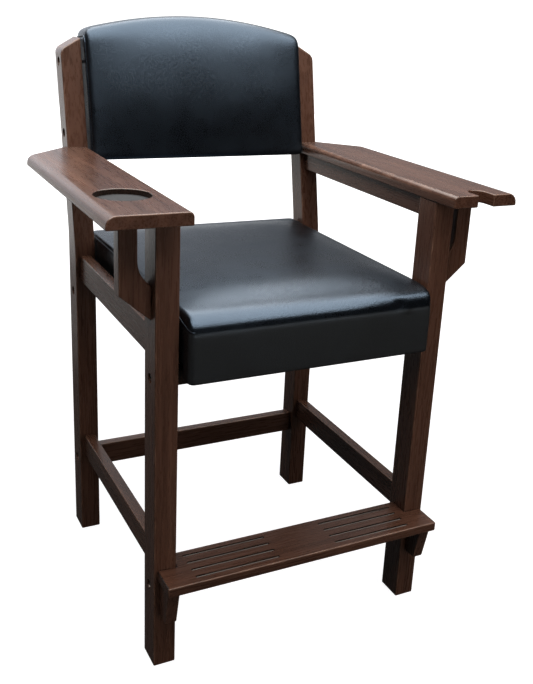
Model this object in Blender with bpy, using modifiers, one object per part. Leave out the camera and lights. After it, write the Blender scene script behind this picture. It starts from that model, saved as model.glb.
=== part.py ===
# Billiard spectator chair: a tall wooden armchair with a vinyl seat and back,
# a cup recess in the left arm, a cue notch in the right arm and a footrest.
# Metres, +Z up, the chair faces -Y, the floor is z = 0.

import math

import bmesh
import bpy
from mathutils import Matrix, Vector

# Clearances
FIT = 0.0003
SOFT_FIT = 0.001
OVERCUT = 0.010

# Legs and posts
FRAME_WIDTH = 0.624
LEG_WIDTH = 0.045
LEG_DEPTH = 0.060
LEG_SPAN = 0.486
RAKE_HEIGHT = 0.720
RAKE_ANGLE = math.radians(11.5)
RAKE_RADIUS = 0.200
POST_UPPER_DEPTH = 0.0544
POST_TOP = 1.1765
POST_TOP_SLANT = math.radians(30.0)
POST_CORNER_RADIUS = 0.010
EDGE_EASE = 0.0025

# Rails and stretchers
RAIL_THICKNESS = 0.024
STRETCHER_HEIGHT = 0.054
SIDE_STRETCHER_BOTTOM = 0.204
BACK_STRETCHER_BOTTOM = 0.161
SEAT_RAIL_DROP = 0.003
SEAT_RAIL_HEIGHT = 0.060
ARM_RAIL_HEIGHT = 0.040
TENON_THICKNESS = 0.010
TENON_LENGTH = 0.018
TENON_SHOULDER = 0.008

# Footrest
BOARD_TOP = 0.223
BOARD_THICKNESS = 0.020
BOARD_OVERHANG = 0.065
BOARD_TONGUE = 0.046
BOARD_END_INSET = 0.006
FLUTES_PER_SIDE = 4
FLUTE_PITCH = 0.0247
FLUTE_LENGTH = 0.180
FLUTE_RADIUS = 0.0035
FLUTE_CENTRE = 0.154
BRACKET_HEIGHT = 0.080
BRACKET_REACH = 0.053
BRACKET_FOOT = 0.035

# Arms
ARM_BOTTOM = 0.920
ARM_THICKNESS = 0.0245
ARM_WIDTH = 0.151
ARM_LIP = 0.002
ARM_OVERHANG = 0.0604
ARM_EAR = 0.036
ARM_OUTER_RADIUS = 0.019
ARM_INNER_RADIUS = 0.010
ARM_TENON_HEIGHT = 0.009
ARM_TENON_INSET = 0.012
CUP_DIAMETER = 0.102
CUP_DEPTH = 0.0135
CUP_RIM = 0.0025
CUP_SETBACK = 0.154
COASTER_THICKNESS = 0.003
COASTER_LIP = 0.00075
NOTCH_WIDTH = 0.037
NOTCH_DEPTH = 0.048

# Corbels under the arms
CORBEL_REACH = 0.059
CORBEL_THICKNESS = 0.030
CORBEL_SETBACK = 0.0195
CORBEL_DROP = 0.138
CORBEL_FOOT_DROP = 0.189
CORBEL_SLOT = 0.025
CORBEL_SLOT_DEPTH = 0.125
CORBEL_SLOT_RISE = 0.024
CORBEL_SLOT_RADIUS = 0.055

# Seat
SEAT_EDGE = 0.752
SEAT_DEPTH = 0.102
SEAT_CROWN = 0.014
SEAT_OVERHANG = 0.036
SEAT_SKIRT_DROP = 0.034
SEAT_SKIRT_THICKNESS = 0.030
SEAT_ROLL = 0.051
SEAT_NOSE_SETBACK = 0.0025
SEAT_NOSE_DROP = 0.0045
SEAT_EDGE_ROLL = 0.018
SEAT_WALL = 0.012
SEAT_FOAM = 0.050
SEAT_FRAME_THICKNESS = 0.020
DECK_THICKNESS = 0.012
DUST_COVER_THICKNESS = 0.003
BEARER_HEIGHT = 0.050
BEARER_BOLT_DROP = 0.033
SEAT_CORNER_DRAW = 0.009
DRAW_IN = 0.003

# Back
BACK_BOTTOM = 0.918
BACK_TOP = 1.197
BACK_ARCH = 0.036
BACK_PROUD = 0.032
BACK_CROWN = 0.014
BACK_REAR_INSET = 0.006
BACK_REAR_DROP = 0.008
BACK_ROLL = 0.022
BACK_WALL = 0.012
CORE_THICKNESS = 0.020
CORE_BOTTOM_MARGIN = 0.018
CORE_TOP_MARGIN = 0.040
BACK_BOLT_LOW = 0.972
BACK_BOLT_HIGH = 1.124

# Bolts and threaded inserts
BOLT_HEAD_RADIUS = 0.0080
BOLT_HEAD_HEIGHT = 0.0035
BOLT_RADIUS = 0.003
BOLT_BITE = 0.018
BOLT_CHAMFER = 0.00075
SOCKET_RADIUS = 0.0029
SOCKET_DEPTH = 0.002
COUNTERBORE_RADIUS = 0.0100
COUNTERBORE_DEPTH = 0.009
INSERT_RADIUS = 0.005
INSERT_LENGTH = 0.015

# Smoothness
ARC_STEP = math.radians(15.0)
TURN_STEPS = 16
CUP_STEPS = 40
RIM_STEPS = 2
ROUNDOVER_STEPS = 5
EASE_STEPS = 2
EASE_ANGLE = math.radians(40.0)
FLUTE_STEPS = 12
FLUTE_RINGS = 7
HEX = 6
ROUND = 0.5
SEAT_CELLS = (4, 5, 2)
BACK_CELLS = (4, 2, 5)
WELD = 0.00001
SLICE = 0.000001
FLAT = 0.001

# Positions that follow from the sizes
RAKE = math.tan(RAKE_ANGLE)
LEG_OUTER = FRAME_WIDTH / 2
LEG_INNER = LEG_OUTER - LEG_WIDTH
LEG_CENTRE = (LEG_OUTER + LEG_INNER) / 2
REAR_REACH = LEG_DEPTH + LEG_SPAN + RAKE * (POST_TOP - RAKE_HEIGHT) + POST_UPPER_DEPTH
FRONT = (BOARD_OVERHANG - REAR_REACH) / 2
FRONT_LEG_BACK = FRONT + LEG_DEPTH
REAR_LEG_FRONT = FRONT_LEG_BACK + LEG_SPAN
REAR_LEG_BACK = REAR_LEG_FRONT + LEG_DEPTH
FRONT_LEG_MIDDLE = FRONT + LEG_DEPTH / 2
REAR_LEG_MIDDLE = REAR_LEG_FRONT + LEG_DEPTH / 2
ARM_TOP = ARM_BOTTOM + ARM_THICKNESS
ARM_INNER = LEG_INNER - ARM_LIP
ARM_OUTER = ARM_INNER + ARM_WIDTH
ARM_CENTRE = (ARM_INNER + ARM_OUTER) / 2
ARM_FRONT = FRONT - ARM_OVERHANG
BOARD_BOTTOM = BOARD_TOP - BOARD_THICKNESS
SEAT_HALF = LEG_INNER - SOFT_FIT
SEAT_FRONT = FRONT - SEAT_OVERHANG
SEAT_REAR = REAR_LEG_BACK
SEAT_BASE = SEAT_EDGE - SEAT_DEPTH
SEAT_SKIRT = SEAT_BASE - SEAT_SKIRT_DROP
SEAT_RAIL_BOTTOM = SEAT_BASE - SEAT_RAIL_DROP
DECK_TOP = SEAT_EDGE + SEAT_CROWN - SEAT_FOAM
BACK_HALF = ARM_INNER - SOFT_FIT
BACK_FRONT = -BACK_PROUD
BACK_REAR = POST_UPPER_DEPTH - BACK_REAR_INSET
CORE_MIDDLE = POST_UPPER_DEPTH / 2

# Views: which way a flat outline (u, v) is stood up in the chair
PLAN = Matrix.Identity(4)
SIDE_VIEW = Matrix(((0, 0, 1, 0), (1, 0, 0, 0), (0, 1, 0, 0), (0, 0, 0, 1)))
FRONT_VIEW = Matrix(((1, 0, 0, 0), (0, 0, -1, 0), (0, 1, 0, 0), (0, 0, 0, 1)))

for old in list(bpy.data.objects):
    bpy.data.objects.remove(old, do_unlink=True)

parts = bpy.data.collections.new("spectator_chair")
cutters = bpy.data.collections.new("cutters")
bpy.context.scene.collection.children.link(parts)
bpy.context.scene.collection.children.link(cutters)


def material(name, colour, roughness, metallic=0.0):
    made = bpy.data.materials.new(name)
    made.use_nodes = True
    shader = made.node_tree.nodes["Principled BSDF"]
    shader.inputs["Base Color"].default_value = (*colour, 1.0)
    shader.inputs["Roughness"].default_value = roughness
    shader.inputs["Metallic"].default_value = metallic
    return made


WOOD = material("espresso_wood", (0.046, 0.028, 0.020), 0.38)
VINYL = material("black_vinyl", (0.011, 0.013, 0.018), 0.36)
PLYWOOD = material("plain_plywood", (0.48, 0.34, 0.20), 0.75)
LINING = material("black_lining", (0.012, 0.012, 0.013), 0.90)
STEEL = material("black_steel", (0.045, 0.045, 0.048), 0.40, 1.0)
BRASS = material("insert_brass", (0.60, 0.45, 0.20), 0.40, 1.0)
RUBBER = material("grey_coaster", (0.115, 0.120, 0.120), 0.85)


# Basic shapes

def post_front(z):
    return REAR_LEG_FRONT + RAKE * max(0.0, z - RAKE_HEIGHT)


def new_object(name, mesh, finish=None):
    made = bpy.data.objects.new(name, mesh)
    if finish is None:
        cutters.objects.link(made)
        made.hide_render = True
        made.display_type = "WIRE"
    else:
        parts.objects.link(made)
        mesh.materials.clear()
        mesh.materials.append(finish)
    return made


def box(name, low, high, finish=None):
    low = Vector(low)
    high = Vector(high)
    bm = bmesh.new()
    bmesh.ops.create_cube(bm, size=1.0)
    bmesh.ops.scale(bm, vec=high - low, verts=bm.verts)
    mesh = bpy.data.meshes.new(name)
    bm.to_mesh(mesh)
    bm.free()
    made = new_object(name, mesh, finish)
    made.location = (low + high) / 2
    return made


def rounded(corners):
    # Corners are (u, v) or (u, v, radius); a corner with a radius becomes an arc.
    outline = []
    for index, corner in enumerate(corners):
        here = Vector(corner[:2])
        if len(corner) == 2:
            outline.append(here)
            continue
        radius = corner[2]
        before = (Vector(corners[index - 1][:2]) - here).normalized()
        after = (Vector(corners[(index + 1) % len(corners)][:2]) - here).normalized()
        half = before.angle(after) / 2
        centre = here + (before + after).normalized() * radius / math.sin(half)
        first = here + before * radius / math.tan(half) - centre
        sweep = math.pi - 2 * half
        if before.x * after.y - before.y * after.x > 0:
            sweep = -sweep
        steps = max(2, math.ceil(abs(sweep) / ARC_STEP))
        for step in range(steps + 1):
            turn = Matrix.Rotation(sweep * step / steps, 2)
            outline.append(centre + turn @ first)
    return outline


def plate(name, corners, thickness, view, middle, finish=None, mirror=1):
    curve = bpy.data.curves.new(name, "CURVE")
    curve.dimensions = "2D"
    curve.fill_mode = "BOTH"
    curve.extrude = thickness / 2
    outline = rounded(corners)
    spline = curve.splines.new("POLY")
    spline.points.add(len(outline) - 1)
    for point, (u, v) in zip(spline.points, outline):
        point.co = (u * mirror, v, 0.0, 1.0)
    spline.use_cyclic_u = True
    drawn = bpy.data.objects.new(name, curve)
    cutters.objects.link(drawn)
    drawn.matrix_world = Matrix.Translation(middle) @ view
    bpy.context.view_layer.update()
    mesh = bpy.data.meshes.new_from_object(drawn.evaluated_get(bpy.context.evaluated_depsgraph_get()))
    placed = drawn.matrix_world.copy()
    bpy.data.objects.remove(drawn, do_unlink=True)
    bpy.data.curves.remove(curve)
    bm = bmesh.new()
    bm.from_mesh(mesh)
    bmesh.ops.remove_doubles(bm, verts=bm.verts, dist=WELD)
    bmesh.ops.dissolve_limit(bm, angle_limit=FLAT, verts=bm.verts, edges=bm.edges)
    bmesh.ops.recalc_face_normals(bm, faces=bm.faces)
    bm.to_mesh(mesh)
    bm.free()
    made = new_object(name, mesh, finish)
    made.matrix_world = placed
    return made


def turned(name, profile, steps, finish=None):
    # The profile runs from the top down the outer side, as (radius, height).
    mesh = bpy.data.meshes.new(name)
    points = [(radius, 0.0, height) for radius, height in profile]
    mesh.from_pydata(points, [(i, i + 1) for i in range(len(points) - 1)], [])
    made = new_object(name, mesh, finish)
    spin = made.modifiers.new("turn", "SCREW")
    spin.axis = "Z"
    spin.steps = steps
    spin.render_steps = steps
    spin.use_merge_vertices = True
    spin.merge_threshold = WELD
    return made


def ease(piece, width=EDGE_EASE):
    bevel = piece.modifiers.new("eased edges", "BEVEL")
    bevel.width = width
    bevel.segments = EASE_STEPS
    bevel.limit_method = "ANGLE"
    bevel.angle_limit = EASE_ANGLE


def combine(piece, tool, operation):
    step = piece.modifiers.new(tool.name, "BOOLEAN")
    step.operation = operation
    step.solver = "EXACT"
    step.object = tool


def cut(piece, tool):
    combine(piece, tool, "DIFFERENCE")


def add(piece, tool):
    combine(piece, tool, "UNION")


def finished_mesh(piece):
    bpy.context.view_layer.update()
    return bpy.data.meshes.new_from_object(piece.evaluated_get(bpy.context.evaluated_depsgraph_get()))


def side_name(side):
    return "left" if side < 0 else "right"


SIDES = (-1, 1)

# Bolted joints: where a bolt passes through a leg or post into a cross member
FRONT_STRETCHER_MIDDLE = BOARD_BOTTOM - FIT - STRETCHER_HEIGHT / 2
BACK_STRETCHER_MIDDLE = BACK_STRETCHER_BOTTOM + STRETCHER_HEIGHT / 2
BEARER_MIDDLE = SEAT_BASE - FIT - BEARER_HEIGHT / 2
MEMBER_END = LEG_INNER - FIT
CORE_END = BACK_HALF - BACK_WALL - FIT
FRONT_LEG_BOLTS = {
    "front_stretcher": (FRONT_LEG_MIDDLE, FRONT_STRETCHER_MIDDLE, MEMBER_END),
    "front_bearer": (FRONT_LEG_MIDDLE, SEAT_BASE - BEARER_BOLT_DROP, MEMBER_END),
}
POST_BOLTS = {
    "back_stretcher": (REAR_LEG_MIDDLE, BACK_STRETCHER_MIDDLE, MEMBER_END),
    "rear_bearer": (REAR_LEG_MIDDLE, SEAT_BASE - BEARER_BOLT_DROP, MEMBER_END),
    "back_low": (post_front(BACK_BOLT_LOW) + CORE_MIDDLE, BACK_BOLT_LOW, CORE_END),
    "back_high": (post_front(BACK_BOLT_HIGH) + CORE_MIDDLE, BACK_BOLT_HIGH, CORE_END),
}


def along_x(tool, side, x, y, z):
    tool.location = (side * x, y, z)
    tool.rotation_euler = (0.0, side * math.pi / 2, 0.0)


def bolt_hole(piece, side, joint, y, z):
    bore = BOLT_RADIUS + FIT
    profile = [(0.0, OVERCUT), (COUNTERBORE_RADIUS, OVERCUT), (COUNTERBORE_RADIUS, -COUNTERBORE_DEPTH),
               (bore, -COUNTERBORE_DEPTH), (bore, -LEG_WIDTH - OVERCUT), (0.0, -LEG_WIDTH - OVERCUT)]
    tool = turned(f"bolt_hole_{joint}_{side_name(side)}", profile, TURN_STEPS)
    along_x(tool, side, LEG_OUTER, y, z)
    cut(piece, tool)


def insert_hole(piece, side, joint, y, z, end):
    radius = INSERT_RADIUS + FIT
    deep = BOLT_BITE + FIT
    profile = [(0.0, OVERCUT), (radius, OVERCUT), (radius, -deep), (0.0, -deep)]
    tool = turned(f"insert_hole_{joint}_{side_name(side)}", profile, TURN_STEPS)
    along_x(tool, side, end, y, z)
    cut(piece, tool)


# Front legs, with a stub tenon up into the arm and mortises for the side rails

def tenon_span(bottom, height):
    return bottom + TENON_SHOULDER, bottom + height - TENON_SHOULDER


SIDE_RAILS = {
    "side_stretcher": (SIDE_STRETCHER_BOTTOM, STRETCHER_HEIGHT),
    "seat_side_rail": (SEAT_RAIL_BOTTOM, SEAT_RAIL_HEIGHT),
    "arm_rail": (ARM_BOTTOM - FIT - ARM_RAIL_HEIGHT, ARM_RAIL_HEIGHT),
}


def rail_back(bottom, height):
    return post_front(bottom + height / 2) - FIT


def mortise(piece, side, rail, low_y, high_y):
    low, high = tenon_span(*SIDE_RAILS[rail])
    half = TENON_THICKNESS / 2 + FIT
    x = side * LEG_CENTRE
    tool = box(f"mortise_{rail}_{piece.name}", (x - half, low_y, low - FIT), (x + half, high_y, high + FIT))
    cut(piece, tool)


for side in SIDES:
    x = side * LEG_CENTRE
    half = LEG_WIDTH / 2
    top = ARM_BOTTOM - FIT
    leg = box(f"front_leg_{side_name(side)}", (x - half, FRONT, 0.0), (x + half, FRONT_LEG_BACK, top), WOOD)
    ease(leg)
    stub = box(f"leg_tenon_{side_name(side)}",
               (x - half + ARM_TENON_INSET, FRONT + ARM_TENON_INSET, top - OVERCUT),
               (x + half - ARM_TENON_INSET, FRONT_LEG_BACK - ARM_TENON_INSET, ARM_BOTTOM + ARM_TENON_HEIGHT))
    add(leg, stub)
    for rail in SIDE_RAILS:
        mortise(leg, side, rail, FRONT_LEG_BACK - TENON_LENGTH - FIT, FRONT_LEG_BACK + OVERCUT)
    for joint, (y, z, end) in FRONT_LEG_BOLTS.items():
        bolt_hole(leg, side, joint, y, z)

# Rear posts: upright to the seat, then raked, with a slanted top

REAR_KINK = RAKE_HEIGHT + (LEG_DEPTH - POST_UPPER_DEPTH) / RAKE


def slant_top(post, side):
    # The top is cut at a slant that falls outward, and its outer corner is rounded.
    bm = bmesh.new()
    bm.from_mesh(post.data)
    bm.transform(post.matrix_world)
    everything = list(bm.verts) + list(bm.edges) + list(bm.faces)
    normal = (side * math.sin(POST_TOP_SLANT), 0.0, math.cos(POST_TOP_SLANT))
    sliced = bmesh.ops.bisect_plane(bm, geom=everything, dist=SLICE, clear_outer=True,
                                    plane_co=(side * LEG_INNER, 0.0, POST_TOP), plane_no=normal)
    rim = [item for item in sliced["geom_cut"] if isinstance(item, bmesh.types.BMEdge)]
    bmesh.ops.contextual_create(bm, geom=rim)
    corner = [edge for edge in rim if all(abs(abs(v.co.x) - LEG_OUTER) < FIT for v in edge.verts)]
    bmesh.ops.bevel(bm, geom=corner, offset=POST_CORNER_RADIUS, offset_type="OFFSET", affect="EDGES",
                    segments=ROUNDOVER_STEPS, profile=ROUND, material=-1)
    bmesh.ops.recalc_face_normals(bm, faces=bm.faces)
    bm.transform(post.matrix_world.inverted())
    bm.to_mesh(post.data)
    bm.free()


for side in SIDES:
    stock_top = POST_TOP + OVERCUT
    corners = [(REAR_LEG_FRONT, 0.0), (REAR_LEG_FRONT, RAKE_HEIGHT, RAKE_RADIUS),
               (post_front(stock_top), stock_top), (post_front(stock_top) + POST_UPPER_DEPTH, stock_top),
               (REAR_LEG_BACK, REAR_KINK, RAKE_RADIUS), (REAR_LEG_BACK, 0.0)]
    post = plate(f"rear_post_{side_name(side)}", corners, LEG_WIDTH, SIDE_VIEW,
                 (side * LEG_CENTRE, 0.0, 0.0), WOOD)
    slant_top(post, side)
    ease(post)
    for rail, (bottom, height) in SIDE_RAILS.items():
        back = rail_back(bottom, height)
        mortise(post, side, rail, back - OVERCUT, back + TENON_LENGTH + FIT)
    for joint, (y, z, end) in POST_BOLTS.items():
        bolt_hole(post, side, joint, y, z)

# Side rails with tenons, front to back

for side in SIDES:
    for rail, (bottom, height) in SIDE_RAILS.items():
        x = side * LEG_CENTRE
        top = bottom + height
        start = FRONT_LEG_BACK + FIT
        corners = [(start, bottom), (post_front(bottom) - FIT, bottom), (post_front(top) - FIT, top),
                   (start, top)]
        bar = plate(f"{rail}_{side_name(side)}", corners, RAIL_THICKNESS, SIDE_VIEW, (x, 0.0, 0.0), WOOD)
        ease(bar)
        low, high = tenon_span(bottom, height)
        half = TENON_THICKNESS / 2
        tongue = box(f"tenon_{rail}_{side_name(side)}", (x - half, FRONT_LEG_BACK - TENON_LENGTH, low),
                     (x + half, rail_back(bottom, height) + TENON_LENGTH, high))
        add(bar, tongue)

# Cross members, each bolted to a pair of legs

CROSS_MEMBERS = {
    "front_stretcher": (FRONT_STRETCHER_MIDDLE, STRETCHER_HEIGHT, FRONT_LEG_BOLTS),
    "front_bearer": (BEARER_MIDDLE, BEARER_HEIGHT, FRONT_LEG_BOLTS),
    "back_stretcher": (BACK_STRETCHER_MIDDLE, STRETCHER_HEIGHT, POST_BOLTS),
    "rear_bearer": (BEARER_MIDDLE, BEARER_HEIGHT, POST_BOLTS),
}

for name, (middle, height, bolts) in CROSS_MEMBERS.items():
    y, z, end = bolts[name]
    deep = RAIL_THICKNESS / 2
    bar = box(name, (-end, y - deep, middle - height / 2), (end, y + deep, middle + height / 2), WOOD)
    ease(bar)
    for side in SIDES:
        insert_hole(bar, side, name, y, z, end)

# Footrest: a board notched round the front legs, with routed flutes, on two brackets


def flute(board, name, x, y):
    bm = bmesh.new()
    bmesh.ops.create_uvsphere(bm, u_segments=FLUTE_STEPS, v_segments=FLUTE_RINGS, radius=FLUTE_RADIUS)
    for vert in bm.verts:
        vert.co.z += math.copysign(FLUTE_LENGTH / 2 - FLUTE_RADIUS, vert.co.z)
    mesh = bpy.data.meshes.new(name)
    bm.to_mesh(mesh)
    bm.free()
    tool = new_object(name, mesh)
    along_x(tool, 1, x, y, BOARD_TOP)
    cut(board, tool)


half_board = LEG_OUTER - BOARD_END_INSET
board_front = FRONT - BOARD_OVERHANG
board_back = FRONT + BOARD_TONGUE
tongue_half = LEG_INNER - FIT
leg_line = FRONT - FIT
corners = [(-half_board, board_front), (half_board, board_front), (half_board, leg_line),
           (tongue_half, leg_line), (tongue_half, board_back), (-tongue_half, board_back),
           (-tongue_half, leg_line), (-half_board, leg_line)]
board = plate("footrest_board", corners, BOARD_THICKNESS, PLAN,
              (0.0, 0.0, BOARD_TOP - BOARD_THICKNESS / 2), WOOD)
ease(board)
for side in SIDES:
    for row in range(FLUTES_PER_SIDE):
        y = (board_front + board_back) / 2 + (row - (FLUTES_PER_SIDE - 1) / 2) * FLUTE_PITCH
        flute(board, f"flute_{side_name(side)}_{row}", side * FLUTE_CENTRE, y)

    top = BOARD_BOTTOM - FIT
    corners = [(leg_line, top), (leg_line, top - BRACKET_HEIGHT),
               (FRONT - BRACKET_FOOT, top - BRACKET_HEIGHT), (FRONT - BRACKET_REACH, top)]
    bracket = plate(f"footrest_bracket_{side_name(side)}", corners, RAIL_THICKNESS, SIDE_VIEW,
                    (side * LEG_CENTRE, 0.0, 0.0), WOOD)
    ease(bracket)

# Arms: rounded over along the top, clipped at the back and notched round the post


def round_over(arm, side, edges, radius):
    # Each entry in edges is a pair of (x, y) corners of the plan of the right arm.
    bm = bmesh.new()
    bm.from_mesh(arm.data)
    chosen = []
    for edge in bm.edges:
        ends = [v.co for v in edge.verts]
        if min(end.z for end in ends) < ARM_THICKNESS / 2 - FIT:
            continue
        for first, last in edges:
            wanted = [Vector((side * first[0], first[1])), Vector((side * last[0], last[1]))]
            if all(min((end.xy - spot).length for spot in wanted) < FIT for end in ends):
                chosen.append(edge)
    bmesh.ops.bevel(bm, geom=chosen, offset=radius, offset_type="OFFSET", affect="EDGES",
                    segments=ROUNDOVER_STEPS, profile=ROUND, material=-1)
    bm.to_mesh(arm.data)
    bm.free()


def cup_recess(arm, x, y):
    radius = CUP_DIAMETER / 2
    profile = [(0.0, OVERCUT), (radius + CUP_RIM, OVERCUT)]
    for step in range(RIM_STEPS + 1):
        turn = math.pi / 2 * step / RIM_STEPS
        profile.append((radius + CUP_RIM * (1 - math.sin(turn)), -CUP_RIM * (1 - math.cos(turn))))
    profile += [(radius, -CUP_DEPTH), (0.0, -CUP_DEPTH)]
    tool = turned("cup_recess", profile, CUP_STEPS)
    tool.location = (x, y, ARM_TOP)
    cut(arm, tool)
    radius -= FIT
    top = COASTER_THICKNESS
    profile = [(0.0, top), (radius - COASTER_LIP, top), (radius, top - COASTER_LIP), (radius, 0.0), (0.0, 0.0)]
    coaster = turned("cup_coaster", profile, CUP_STEPS, RUBBER)
    coaster.location = (x, y, ARM_TOP - CUP_DEPTH + FIT)


def post_housing(arm, side):
    low = ARM_BOTTOM - OVERCUT
    high = ARM_TOP + OVERCUT
    reach = LEG_WIDTH + ARM_LIP + OVERCUT
    far = POST_UPPER_DEPTH + ARM_EAR
    corners = [(post_front(low) - FIT, low), (post_front(low) + far, low),
               (post_front(high) + far, high), (post_front(high) - FIT, high)]
    tool = plate(f"post_housing_{side_name(side)}", corners, reach, SIDE_VIEW,
                 (side * (LEG_OUTER + FIT - reach / 2), 0.0, 0.0))
    cut(arm, tool)


for side in SIDES:
    ear_x = LEG_OUTER + FIT
    ear_y = post_front(ARM_TOP) + ARM_EAR
    clip_y = ear_y - (ARM_OUTER - ear_x)
    corners = [(ARM_OUTER, ARM_FRONT), (ARM_OUTER, clip_y), (ear_x, ear_y), (ARM_INNER, ear_y),
               (ARM_INNER, ARM_FRONT)]
    if side > 0:
        low_x = ARM_CENTRE - NOTCH_WIDTH / 2
        high_x = ARM_CENTRE + NOTCH_WIDTH / 2
        end_y = ARM_FRONT + NOTCH_DEPTH
        end_radius = NOTCH_WIDTH / 2 - FIT
        corners += [(low_x, ARM_FRONT), (low_x, end_y, end_radius), (high_x, end_y, end_radius),
                    (high_x, ARM_FRONT)]
    arm = plate(f"arm_{side_name(side)}", corners, ARM_THICKNESS, PLAN,
                (0.0, 0.0, ARM_BOTTOM + ARM_THICKNESS / 2), WOOD, mirror=side)
    round_over(arm, side, [(corners[0], corners[1]), (corners[1], corners[2])], ARM_OUTER_RADIUS)
    round_over(arm, side, [(corners[3], corners[4])], ARM_INNER_RADIUS)
    ease(arm)
    post_housing(arm, side)
    x = side * LEG_CENTRE
    half_x = LEG_WIDTH / 2 - ARM_TENON_INSET + FIT
    half_y = LEG_DEPTH / 2 - ARM_TENON_INSET + FIT
    socket = box(f"arm_mortise_{side_name(side)}",
                 (x - half_x, FRONT_LEG_MIDDLE - half_y, ARM_BOTTOM - OVERCUT),
                 (x + half_x, FRONT_LEG_MIDDLE + half_y, ARM_BOTTOM + ARM_TENON_HEIGHT + FIT))
    cut(arm, socket)
    if side < 0:
        cup_recess(arm, -ARM_CENTRE, ARM_FRONT + CUP_SETBACK)

# Corbels: slotted brackets between the arm and the outer face of the front leg

for side in SIDES:
    near = LEG_OUTER + FIT
    top = ARM_BOTTOM - FIT
    slot_x = near + CORBEL_SLOT
    slot_z = top - CORBEL_SLOT_DEPTH
    corners = [(slot_x, top), (near + CORBEL_REACH, top), (near + CORBEL_REACH, top - CORBEL_DROP),
               (near, top - CORBEL_FOOT_DROP), (near, slot_z),
               (slot_x, slot_z + CORBEL_SLOT_RISE, CORBEL_SLOT_RADIUS)]
    corbel = plate(f"corbel_{side_name(side)}", corners, CORBEL_THICKNESS, FRONT_VIEW,
                   (0.0, FRONT + CORBEL_SETBACK + CORBEL_THICKNESS / 2, 0.0), WOOD, mirror=side)
    ease(corbel)

# Cushions: a coarse cage, shaped and smoothed


def loops(low, high, low_edge, high_edge, cells):
    # Cage lines from low to high: one close to each end and the rest evenly spaced.
    first = low + low_edge
    last = high - high_edge
    return [low] + [first + (last - first) * i / cells for i in range(cells + 1)] + [high]


def cage(name, lines_x, lines_y, lines_z, shape):
    low = Vector((lines_x[0], lines_y[0], lines_z[0]))
    high = Vector((lines_x[-1], lines_y[-1], lines_z[-1]))
    bm = bmesh.new()
    bmesh.ops.create_cube(bm, size=1.0)
    bmesh.ops.scale(bm, vec=high - low, verts=bm.verts)
    bmesh.ops.translate(bm, vec=(low + high) / 2, verts=bm.verts)
    for axis, lines in enumerate((lines_x, lines_y, lines_z)):
        normal = Vector((0.0, 0.0, 0.0))
        normal[axis] = 1.0
        for line in lines[1:-1]:
            everything = list(bm.verts) + list(bm.edges) + list(bm.faces)
            bmesh.ops.bisect_plane(bm, geom=everything, dist=SLICE, plane_co=normal * line, plane_no=normal)
    for vert in bm.verts:
        vert.co = shape(vert.co.copy(), low, high)
    mesh = bpy.data.meshes.new(name)
    bm.to_mesh(mesh)
    bm.free()
    made = new_object(name, mesh, VINYL)
    smooth = made.modifiers.new("soft form", "SUBSURF")
    smooth.levels = 1
    smooth.render_levels = 1
    return made


def spread(value, low, high):
    # -1 at low, 0 in the middle, 1 at high.
    return (2 * value - low - high) / (high - low)


def dome(first, second):
    return (1 - first * first) * (1 - second * second)


def seat_shape(spot, low, high):
    u = spread(spot.x, low.x, high.x)
    v = spread(spot.y, low.y, high.y)
    w = spread(spot.z, low.z, high.z)
    if w > 1 - FIT:
        spot.z += SEAT_CROWN * dome(u, v)
        if v < FIT - 1:
            spot.y += SEAT_NOSE_SETBACK
            spot.z -= SEAT_NOSE_DROP
    if abs(u) > 1 - FIT:
        spot.x -= u * DRAW_IN * dome(v, w)
        if v < FIT - 1:
            spot.x -= u * SEAT_CORNER_DRAW
    return spot


def lean(spot):
    spot.y += REAR_LEG_FRONT + RAKE * (spot.z - RAKE_HEIGHT)
    return spot


def back_shape(spot, low, high):
    # Here y is the distance behind the front faces of the posts until lean is applied.
    u = spread(spot.x, low.x, high.x)
    v = spread(spot.y, low.y, high.y)
    w = spread(spot.z, low.z, high.z)
    if v < FIT - 1:
        spot.y -= BACK_CROWN * dome(u, w)
    if abs(u) > 1 - FIT:
        spot.x -= u * DRAW_IN * dome(v, w)
    lift = BACK_ARCH * (1 - u * u) - BACK_REAR_DROP * ((v + 1) / 2) ** 2
    spot.z += lift * ((w + 1) / 2) ** 2
    return lean(spot)


def leaning_box(name, low, high, finish=None):
    made = box(name, low, high, finish)
    centre = made.location.copy()
    for vert in made.data.vertices:
        vert.co = lean(vert.co + centre)
    made.location = (0.0, 0.0, 0.0)
    return made


# Seat: cushion over a deck on a box frame, resting on the two bearers

seat = cage("seat_cushion",
            loops(-SEAT_HALF, SEAT_HALF, SEAT_EDGE_ROLL, SEAT_EDGE_ROLL, SEAT_CELLS[0]),
            loops(SEAT_FRONT, SEAT_REAR, SEAT_ROLL, SEAT_EDGE_ROLL, SEAT_CELLS[1]),
            loops(SEAT_SKIRT, SEAT_EDGE, SEAT_WALL, SEAT_ROLL, SEAT_CELLS[2]), seat_shape)
skirt_back = SEAT_FRONT + SEAT_SKIRT_THICKNESS
wide = SEAT_HALF + OVERCUT
cut(seat, box("seat_underside", (-wide, skirt_back, SEAT_SKIRT - OVERCUT),
              (wide, SEAT_REAR + OVERCUT, SEAT_BASE)))
pocket_half = SEAT_HALF - SEAT_WALL
pocket_back = SEAT_REAR - SEAT_WALL
cut(seat, box("seat_pocket", (-pocket_half, skirt_back, SEAT_BASE - OVERCUT),
              (pocket_half, pocket_back, DECK_TOP + FIT)))

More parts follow.
